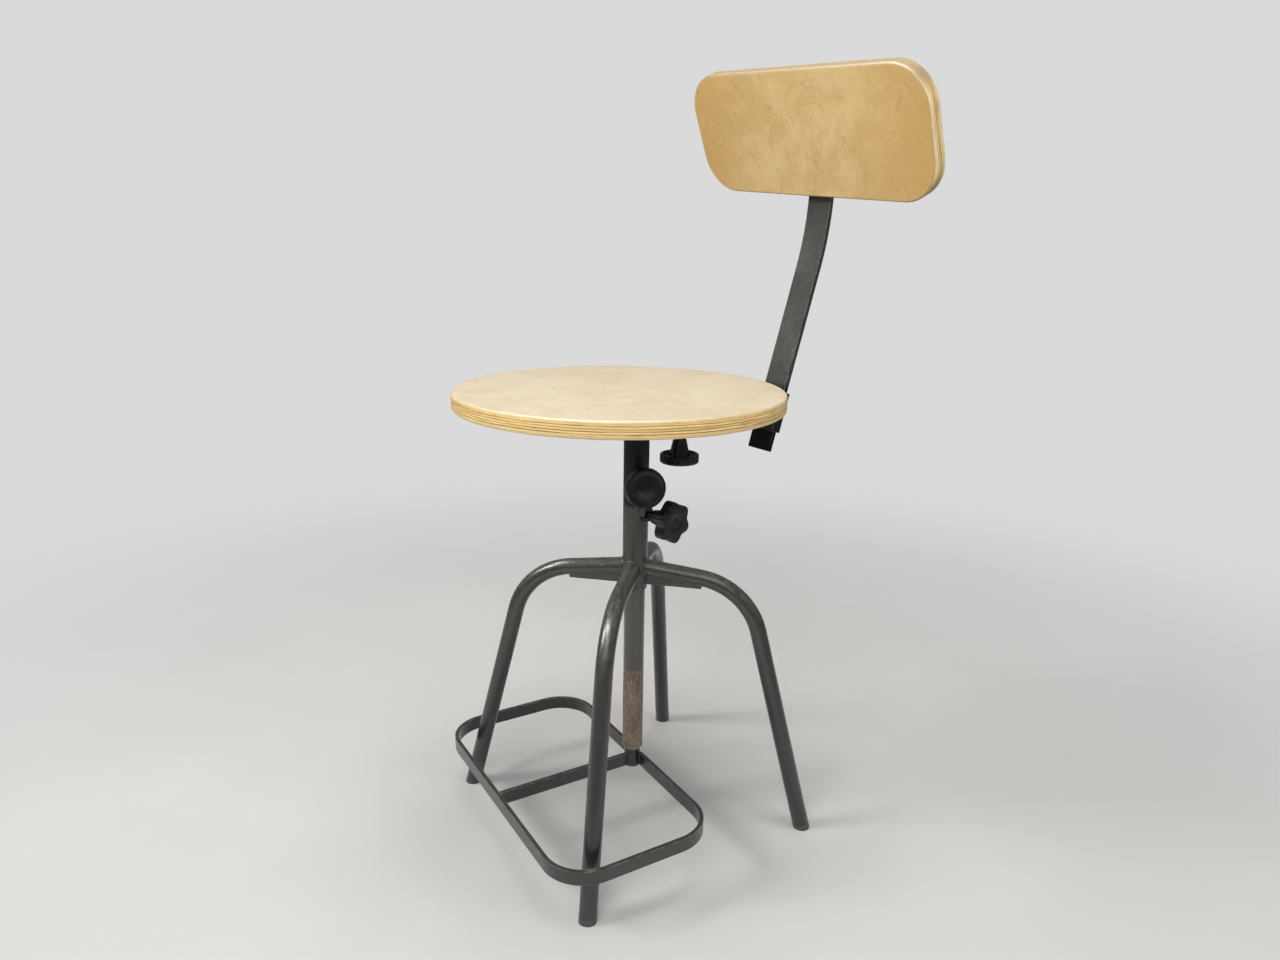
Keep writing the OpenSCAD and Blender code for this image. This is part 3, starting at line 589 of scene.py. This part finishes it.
def ply_edge(graph, coords, look, along):
    """Colour of a plywood edge, and its glue lines. Every other ply shows its end grain."""
    thick = look["thick"]
    wave = graph.noise(graph.coords((1, 1, 0)), 9, 3)
    layer = graph.times(graph.plus(graph.axis(coords, 2), thick / 2), PLIES / thick)
    layer = graph.plus(layer, graph.times(graph.minus(wave, 0.5), 0.6))
    index = graph.math("FLOOR", layer)
    odd = graph.math("MODULO", index, 2)
    end_grain = graph.positive(graph.minus(odd, along))
    end_grain = graph.plus(graph.times(odd, 0.5), graph.times(end_grain, 0.5))
    tone = graph.noise(graph.add("ShaderNodeCombineXYZ", X=index).outputs[0], 3.7, 1)
    edge = graph.mix(graph.span(end_grain, 0.1, 0.9), PLY_ALONG, PLY_ACROSS)
    edge = graph.mix(graph.span(tone, 0.35, 0.65, 0, 0.5), edge, PLY_PALE)
    streak = graph.noise(graph.coords((0.2, 0.2, 6)), 160, 4, 0.65)
    edge = graph.mix(graph.span(streak, 0.46, 0.70, 0, 0.60), edge, PLY_STREAK)

    # Broken glue lines between the plies, and a few voids
    gap = graph.positive(graph.minus(graph.math("FRACT", layer), 0.5))
    broken = graph.span(graph.noise(graph.coords((1, 1, 60)), 24, 3), 0.38, 0.58, 0.35, 1)
    glue = graph.times(graph.span(gap, 0.31, 0.40), broken)
    glue = graph.times(glue, graph.span(tone, 0.40, 0.55, 0.40, 1))
    edge = graph.mix(glue, edge, GLUE)
    void = graph.span(graph.noise(graph.coords((1, 1, 14)), 95, 2), 0.69, 0.725)
    return graph.mix(graph.times(void, 0.85), edge, VOID), glue


def plywood_material(name, look):
    """Birch plywood whose plies lie square to the piece's own Z, with its middle at the origin."""
    graph = material_graph(name)
    coords = graph.coords()
    depth = graph.minus(look["thick"] / 2, graph.positive(graph.axis(coords, 2)))
    along = facing_y(graph, coords, look["round"])
    face, grain = veneer(graph, coords, look)
    edge, glue = ply_edge(graph, coords, look, along)

    # The outermost ply is pale all round, and the face veneer lies on it
    rim = look["rim"]
    rim_t = look["rim_t"]
    rim = graph.mix(graph.span(graph.noise(coords, 60, 3), 0.35, 0.65), rim, scaled(rim, 0.88))
    edge = graph.mix(graph.span(depth, rim_t + 0.0006, rim_t - 0.0006), edge, rim)
    colour = graph.mix(graph.span(depth, 0.0008, 0.0013), face, edge)
    # Edges that face along Y made darker
    colour = graph.mix(graph.times(graph.span(along, 0.15, 0.75), look["y_edge_darkening"]), colour, Y_EDGE_DARK)
    relief = graph.plus(graph.times(grain, 0.5), graph.times(glue, -0.6))
    rough = graph.span(grain, 0.3, 0.7, 0.40, 0.52)
    return graph.surface(Base_Color=colour, Roughness=rough, Normal=graph.bump(relief, 0.00010, 0.35),
                         Specular_IOR_Level=0.25, Coat_Weight=0.06, Coat_Roughness=0.25)


# Mesh helpers

def angles(count):
    """Angles of a full turn in count steps, without the last."""
    return [2 * math.pi * k / count for k in range(count)]


def quarter(steps, first=0):
    """Angles of a quarter turn, from the step called first to the last."""
    return [math.pi / 2 * k / steps for k in range(first, steps + 1)]


def circle(radius, steps):
    return [(radius * math.cos(a), radius * math.sin(a)) for a in angles(steps)]


def raised(outline, z):
    """An outline's points at one height."""
    return [Vector((x, y, z)) for x, y in outline]


def loft(bm, rings, closed=False):
    """Joins rings of equal length into one skin, with a cap at both ends unless it closes on itself."""
    made = [[bm.verts.new(p) for p in ring] for ring in rings]
    pairs = list(zip(made, made[1:]))
    if closed:
        pairs.append((made[-1], made[0]))
    for a, b in pairs:
        for i in range(len(a)):
            j = (i + 1) % len(a)
            bm.faces.new((a[i], a[j], b[j], b[i]))
    if not closed:
        bm.faces.new(list(reversed(made[0])))
        bm.faces.new(made[-1])


def sweep(bm, path, radius, closed):
    """A round bead along a path; radius is a function of the distance and the share of the points passed."""
    count = len(path)
    rings = []
    travelled = 0.0
    side = None
    for i, p in enumerate(path):
        ahead = path[(i + 1) % count] if closed or i + 1 < count else p
        behind = path[i - 1] if closed or i > 0 else p
        along = (ahead - behind).normalized()
        if side is None:
            side = along.orthogonal().normalized()
        side = (side - along * side.dot(along)).normalized()
        other = along.cross(side)
        r = radius(travelled, i / (count - 1))
        rings.append([p + r * (math.cos(a) * side + math.sin(a) * other) for a in angles(BEAD_SIDES)])
        travelled += (ahead - p).length
    loft(bm, rings, closed)


def piece(name, bm, material, body, sharp=40.0, matrix=None):
    """Turns a bmesh into a piece that rides on a body; edges look sharp from the angle sharp, in degrees."""
    bmesh.ops.recalc_face_normals(bm, faces=bm.faces)
    mesh = bpy.data.meshes.new(name)
    bm.to_mesh(mesh)
    bm.free()
    mesh.polygons.foreach_set("use_smooth", [True] * len(mesh.polygons))
    mesh.set_sharp_from_angle(angle=math.radians(sharp))
    mesh.materials.append(material)
    made = bpy.data.objects.new(name, mesh)
    bpy.context.scene.collection.objects.link(made)
    if matrix is not None:
        made.matrix_world = matrix
    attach(made, body)
    return made


# Boards

def rounded_rect(width, height, corner, inset):
    """Outline of a rounded rectangle drawn in by inset, counter-clockwise."""
    r = corner - inset
    half_w = width / 2 - corner
    half_h = height / 2 - corner
    centres = ((half_w, half_h), (-half_w, half_h), (-half_w, -half_h), (half_w, -half_h))
    points = []
    for k, (x, y) in enumerate(centres):
        for i in range(CORNER_STEPS + 1):
            a = math.pi / 2 * (k + i / CORNER_STEPS)
            points.append((x + r * math.cos(a), y + r * math.sin(a)))
        start = points[-1]
        a = math.pi / 2 * (k + 1)
        next_x, next_y = centres[(k + 1) % len(centres)]
        end = (next_x + r * math.cos(a), next_y + r * math.sin(a))
        for i in range(1, SIDE_STEPS):
            points.append(tuple(s + (e - s) * i / SIDE_STEPS for s, e in zip(start, end)))
    return points


def board(outline, thick, edge):
    """A flat board whose outline, a function of the inset, is rounded at both faces."""
    lower = []
    upper = []
    for a in quarter(EDGE_STEPS):
        drawn_in = outline(edge * (1 - math.sin(a)))
        z = thick / 2 - edge * (1 - math.cos(a))
        lower.append(raised(drawn_in, -z))
        upper.append(raised(drawn_in, z))
    wall = [raised(outline(0), (-thick / 2 + edge) + (thick - 2 * edge) * k / WALL_STEPS)
            for k in range(1, WALL_STEPS)]
    bm = bmesh.new()
    loft(bm, lower + wall + upper[::-1])
    return bm


def make_seat(material):
    lo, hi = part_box("seat_board")
    radius = (hi.x - lo.x) / 2
    skin = board(lambda inset: circle(radius - inset, SEAT_STEPS), hi.z - lo.z, SEAT_EDGE)
    made = piece("seat_plywood", skin, material, "seat", matrix=Matrix.Translation((lo + hi) / 2))
    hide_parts("seat_board")


def back_board_matrix():
    """Frame of the backrest board, taken from its solid: X along its width, Z out of its front face."""
    mesh = frame["nodes"]["back_board"].data
    largest = max(mesh.polygons, key=lambda p: p.area)
    out = largest.normal.copy()
    if out.y > 0:
        out.negate()
    wide = Matrix.Rotation(BACK_ROLL, 3, -out) @ Vector((1, 0, 0))
    tall = out.cross(wide).normalized()
    centre = Vector((0, 0, 0))
    for direction in (wide, tall, out):
        reach = [v.co.dot(direction) for v in mesh.vertices]
        centre += direction * (min(reach) + max(reach)) / 2
    turn = Matrix((wide, tall, out)).transposed().to_4x4()
    return Matrix.Translation(centre) @ turn


def make_backrest(material):
    skin = board(lambda inset: rounded_rect(BACK_W, BACK_H, BACK_CORNER, inset), BACK_T, BACK_EDGE)
    made = piece("backrest_plywood", skin, material, "backrest", matrix=back_board_matrix())
    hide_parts("back_board")


# Knobs

def wave_outline(radius, depth, count, steps, phase=0.0):
    """Outline with count swellings, the first of them at phase, as a function of the inset."""
    def outline(inset):
        points = []
        for a in angles(steps):
            r = radius - depth * (1 - math.cos(count * (a - phase))) / 2 - inset
            points.append((r * math.cos(a), r * math.sin(a)))
        return points
    return outline


def knob_mesh(outline, neck, head_t, round_edge, face_rings, hollow=None):
    """Knob along +Z: conical neck with a rolled root and a rounded head. neck holds its first radius, its
    last radius and its length, face_rings the radii and dips in the face, and hollow the radius and depth
    behind the rim."""
    steps = len(outline(0))
    neck_r, root_r, neck_len = neck
    hollow_r, hollow_depth = hollow or (0.0, 0.0)

    def ring(r, z):
        return raised(circle(r, steps), z)

    # Neck and its root, which lies inside the head where that is hollow
    rings = [ring(SCREW_HOLE_R, 0.0), ring(neck_r - NECK_CHAMFER, 0.0), ring(neck_r, NECK_CHAMFER)]
    for k in range(1, NECK_STEPS + 1):
        rings.append(ring(neck_r + (root_r - neck_r) * k / NECK_STEPS * NECK_TAPER,
                          NECK_CHAMFER + (neck_len - ROOT_ROLL - NECK_CHAMFER) * k / NECK_STEPS))
    floor_z = neck_len + hollow_depth
    for a in quarter(NECK_STEPS, 1):
        rings.append(ring(root_r + ROOT_ROLL * (1 - math.cos(a)), floor_z - ROOT_ROLL * (1 - math.sin(a))))
    if hollow:
        rings += [ring(hollow_r - HOLLOW_LIP, floor_z), ring(hollow_r, floor_z - HOLLOW_LIP),
                  ring(hollow_r, neck_len + HOLLOW_LIP), ring(hollow_r + HOLLOW_LIP, neck_len)]

    # Rounded rim of the head, then its face
    top = neck_len + head_t
    for a in quarter(RIM_STEPS):
        drawn_in = outline(round_edge * (1 - math.sin(a)))
        rings.append(raised(drawn_in, neck_len + round_edge * (1 - math.cos(a))))
    for a in quarter(RIM_STEPS):
        drawn_in = outline(round_edge * (1 - math.cos(a)))
        rings.append(raised(drawn_in, top - round_edge * (1 - math.sin(a))))
    rim = outline(round_edge)
    widest = face_rings[0][0]
    for share in FACE_SHARES:
        rings.append([Vector((x * (1 - share) + u, y * (1 - share) + v, top))
                      for (x, y), (u, v) in zip(rim, circle(share * widest, steps))])
    for r, dip in face_rings[1:]:
        rings.append(ring(r, top - dip))
    bm = bmesh.new()
    loft(bm, rings)
    return bm


def clamp_matrix(joint, node):
    """Frame of a knob: +Z along its screw, outwards, with the origin where its neck starts."""
    data = joint_of[joint]
    out = -Vector(data["axis"]).normalized()
    place = Vector(data["pos_m"])
    start = min(v.co.dot(out) for v in frame["nodes"][node].data.vertices)
    place = place + out * (start - place.dot(out))
    side = UP if abs(out.z) < 0.9 else Vector((0, 1, 0))
    across = out.cross(side).normalized()
    return Matrix.Translation(place) @ Matrix((side, across, out)).transposed().to_4x4()


def star_knob_mesh():
    star = wave_outline(STAR_R, LOBE_DEPTH, LOBES, STAR_STEPS, HEIGHT_KNOB_TURN)
    return knob_mesh(star, (NECK_R, STAR_ROOT_R, STAR_NECK), STAR_T, STAR_EDGE, STAR_FACE)


def round_knob_mesh(neck):
    fluted = wave_outline(ROUND_R, FLUTE_DEPTH, FLUTES, FLUTED_STEPS)
    return knob_mesh(fluted, neck, ROUND_T, ROUND_EDGE, ROUND_FACE, ROUND_HOLLOW)


def make_knobs(material):
    """The height clamp's star knob and two round ones; the depth knob's face lies where its solid's does."""
    swivel_neck = (NECK_R, ROUND_ROOT_R, ROUND_NECK)
    depth_neck = (DEPTH_NECK_R, STAR_ROOT_R, STAR_NECK + STAR_T - ROUND_T)
    for name, mesh in (("height", star_knob_mesh()), ("swivel", round_knob_mesh(swivel_neck)),
                       ("depth", round_knob_mesh(depth_neck))):
        made = piece(name + "_knob_moulding", mesh, material, name + "_clamp", sharp=50,
                     matrix=clamp_matrix(name + "_clamp_turn", name + "_knob"))
        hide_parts(name + "_knob")


# Welds

def weld(name, path, radius, body, material, closed=False):
    """A weld bead with the small ripples that it freezes in."""
    def size(distance, share):
        end = 1.0 if closed else min(1.0, BEAD_START + BEAD_SWELL * min(share, 1 - share))
        ripple = RIPPLE * math.sin(2 * math.pi * distance / RIPPLE_STEP)
        spot = Vector((distance * LUMP_RATE, radius * LUMP_OF_RADIUS, len(path) * LUMP_OF_COUNT))
        return radius * end * (1 + ripple + LUMP * field.noise(spot))
    bm = bmesh.new()
    sweep(bm, path, size, closed)
    return piece(name, bm, material, body, sharp=180)


def radial_frame(turn):
    """Unit vectors outwards and sideways for a leg's vertical plane."""
    out = Vector((math.cos(turn), math.sin(turn), 0))
    return out, UP.cross(out)


def leg_ring(turn):
    """Where a leg's tube meets the hub tube."""
    out, side = radial_frame(turn)
    along = (out * math.cos(LEG_SLOPE) - UP * math.sin(LEG_SLOPE)).normalized()
    upward = side.cross(along).normalized() * -1
    start = AXIS + UP * (LEG_TOP + HUB_R * math.tan(LEG_SLOPE))
    path = []
    for a in angles(LEG_RING_STEPS):
        p = start + LEG_R * (math.cos(a) * upward + math.sin(a) * side)
        flat = p - AXIS

        # The distance t along the tube to the hub's wall solves square t^2 + 2 linear t + rest = 0
        square = along.x ** 2 + along.y ** 2
        linear = flat.x * along.x + flat.y * along.y
        rest = flat.x ** 2 + flat.y ** 2 - HUB_R ** 2
        t = (-linear + math.sqrt(linear * linear - square * rest)) / square
        path.append(p + along * t)
    return path


def tube_ring(radius, z):
    """A level circle round the chair's axis."""
    return [AXIS + p for p in raised(circle(radius, TUBE_RING_STEPS), z)]


def weld_gusset(name, turn, material):
    """Beads on both sides of a gusset, up the hub and out along the leg."""
    out, side = radial_frame(turn)
    half_chord = math.sqrt(LEG_R ** 2 - (GUSSET_T / 2) ** 2)
    for s, end in SIDES:
        low = (AXIS + out * (HUB_R + BEAD_OFF) + side * s * (GUSSET_T / 2 + BEAD_OFF)
               + UP * (GUSSET_LOW + GUSSET_BEAD_RISE))
        path = [low + UP * GUSSET_BEAD_H * i / HUB_BEAD_STEPS for i in range(HUB_BEAD_STEPS + 1)]
        weld(f"{name}_gusset_hub_weld_{end}", path, GUSSET_HUB_BEAD_R, "base", material)
        path = []
        for i in range(LEG_BEAD_STEPS + 1):
            r = GUSSET_BEAD_START + GUSSET_BEAD_LEN * i / LEG_BEAD_STEPS
            z = LEG_TOP - r * math.tan(LEG_SLOPE) - half_chord / math.cos(LEG_SLOPE)
            path.append(AXIS + out * (HUB_R + r) + side * s * (GUSSET_T / 2 + GUSSET_SIDE_OFF)
                        + UP * (z - GUSSET_TOP_OFF))
        weld(f"{name}_gusset_leg_weld_{end}", path, GUSSET_LEG_BEAD_R, "base", material)


def weld_footrest(material):
    """Upright beads where the spoke meets the stub and the loop's front, and the loop meets the stub."""
    lo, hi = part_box("footrest_loop")
    turn = Matrix.Rotation(REST_TURN, 3, "Z")
    heights = [lo.z + BEAD_END + (hi.z - lo.z - 2 * BEAD_END) * i / REST_BEAD_STEPS
               for i in range(REST_BEAD_STEPS + 1)]
    spoke_x = REST_T / 2 + BEAD_OFF
    spoke_y = -math.sqrt(STUB_R ** 2 - (REST_T / 2) ** 2) - BEAD_OFF
    loop_y = STUB_R - REST_T
    loop_x = math.sqrt(STUB_R ** 2 - loop_y ** 2) + LOOP_SIDE_OFF
    beads = (("spoke_stub", spoke_x, spoke_y, REST_BEAD_R),
             ("spoke_front", spoke_x, -REST_FRONT + REST_T + BEAD_OFF, REST_BEAD_R),
             ("loop_stub", loop_x, loop_y - LOOP_SIDE_IN, REST_BEAD_R),
             ("loop_back", LOOP_BACK_X, STUB_R - LOOP_BACK_IN, LOOP_BACK_BEAD_R))
    for s, end in SIDES:
        for name, x, y, radius in beads:
            path = [AXIS + turn @ Vector((s * x, y, z)) for z in heights]
            weld(f"{name}_weld_{end}", path, radius, "post", material)


def make_welds(material):
    for k, name in enumerate(LEG_NAMES):
        turn = LEG_TURN + k * math.pi / 2
        weld(name + "_leg_weld", leg_ring(turn), LEG_BEAD_R, "base", material, closed=True)
        weld_gusset(name, turn, material)
    weld_footrest(material)
    guide_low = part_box("slide_guide")[0].z
    seat_ring = tube_ring(HUB_R + SEAT_TUBE_OFF, guide_low - GUIDE_OFF)
    weld("seat_tube_weld", seat_ring, SEAT_TUBE_BEAD_R, "seat", material, closed=True)
    post_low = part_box("post_tube")[0].z
    stub_ring = tube_ring(STUB_R + STUB_OFF, post_low - POST_OFF)
    weld("stub_post_weld", stub_ring, STUB_BEAD_R, "post", material, closed=True)


# Stage and light

def make_floor():
    """Pale floor that fades into the background."""
    graph = material_graph("floor")
    coords = graph.coords()
    tone = graph.mix(graph.span(graph.noise(coords, 3, 3), 0.3, 0.7), FLOOR_DARK, FLOOR_LIGHT)
    away = graph.length(graph.axis(coords, 0), graph.axis(coords, 1))
    diffuse = graph.add("ShaderNodeBsdfDiffuse", Color=tone)
    clear = graph.add("ShaderNodeBsdfTransparent")
    graph.blend(graph.span(away, *FLOOR_FADE), diffuse, clear)
    bm = bmesh.new()
    bmesh.ops.create_circle(bm, cap_ends=True, radius=FLOOR_R, segments=FLOOR_STEPS)
    mesh = bpy.data.meshes.new("floor")
    bm.to_mesh(mesh)
    bm.free()
    mesh.materials.append(graph.owner)
    floor = bpy.data.objects.new("floor", mesh)
    bpy.context.scene.collection.objects.link(floor)


def make_world():
    """Plain background for the camera, and a weaker ambient light for everything else."""
    world = bpy.data.worlds.new("studio")
    bpy.context.scene.world = world
    graph = Graph(world, "ShaderNodeOutputWorld")
    seen = graph.add("ShaderNodeBackground", Color=BACKGROUND)
    ambient = graph.add("ShaderNodeBackground", Color=AMBIENT, Strength=AMBIENT_STRENGTH)
    rays = graph.add("ShaderNodeLightPath").outputs
    shown = graph.math("MAXIMUM", rays["Is Camera Ray"], rays["Is Transmission Ray"])
    graph.blend(shown, ambient, seen)


def make_lamps():
    """Soft square studio lamps."""
    for name, place, target, size, power, matt, glossy in LAMPS:
        data = bpy.data.lights.new(name, "AREA")
        data.shape = "SQUARE"
        data.size = size
        data.energy = power
        data.color = LAMP_COLOUR
        lamp = bpy.data.objects.new(name, data)
        bpy.context.scene.collection.objects.link(lamp)
        lamp.visible_diffuse = matt
        lamp.visible_glossy = glossy
        lamp.location = place
        lamp.rotation_euler = (Vector(target) - Vector(place)).to_track_quat("-Z", "Y").to_euler()


def dress_frame(finish):
    """Gives every solid that shows its material."""
    slot_of = {s["node"]: s["material_slot"] for s in frame["record"]["subparts"]}
    for name, solid in frame["nodes"].items():
        solid.data.materials.clear()
        solid.data.materials.append(finish[NODE_FINISH.get(name, SLOT_FINISH[slot_of[name]])])


make_camera()
finishes = {
    "enamel": paint_material("enamel", 1.0),
    "seat_shade_painted_enamel": paint_material("seat_shade_painted_enamel", SHADED_DEPTH),
    "bar_enamel": bar_material(),
    "post_enamel_and_rust": post_material(),
    "zinc_steel": steel_material("zinc_steel", ZINC_DARK, ZINC_LIGHT),
    "black_steel": steel_material("black_steel", STUD_DARK, STUD_LIGHT),
    "knob_black": plastic_material("knob_black", KNOB_DARK, KNOB_LIGHT, 0.22, 0.32),
    "cap_grey": plastic_material("cap_grey", CAP_DARK, CAP_LIGHT, 0.45, 0.6),
    "seat_birch": plywood_material("seat_birch", SEAT_BIRCH),
    "back_birch": plywood_material("back_birch", BACK_BIRCH),
}
dress_frame(finishes)
make_seat(finishes["seat_birch"])
make_backrest(finishes["back_birch"])
make_knobs(finishes["knob_black"])
make_welds(finishes["enamel"])
make_floor()
make_world()
make_lamps()
bpy.context.scene.view_settings.view_transform = "Standard"
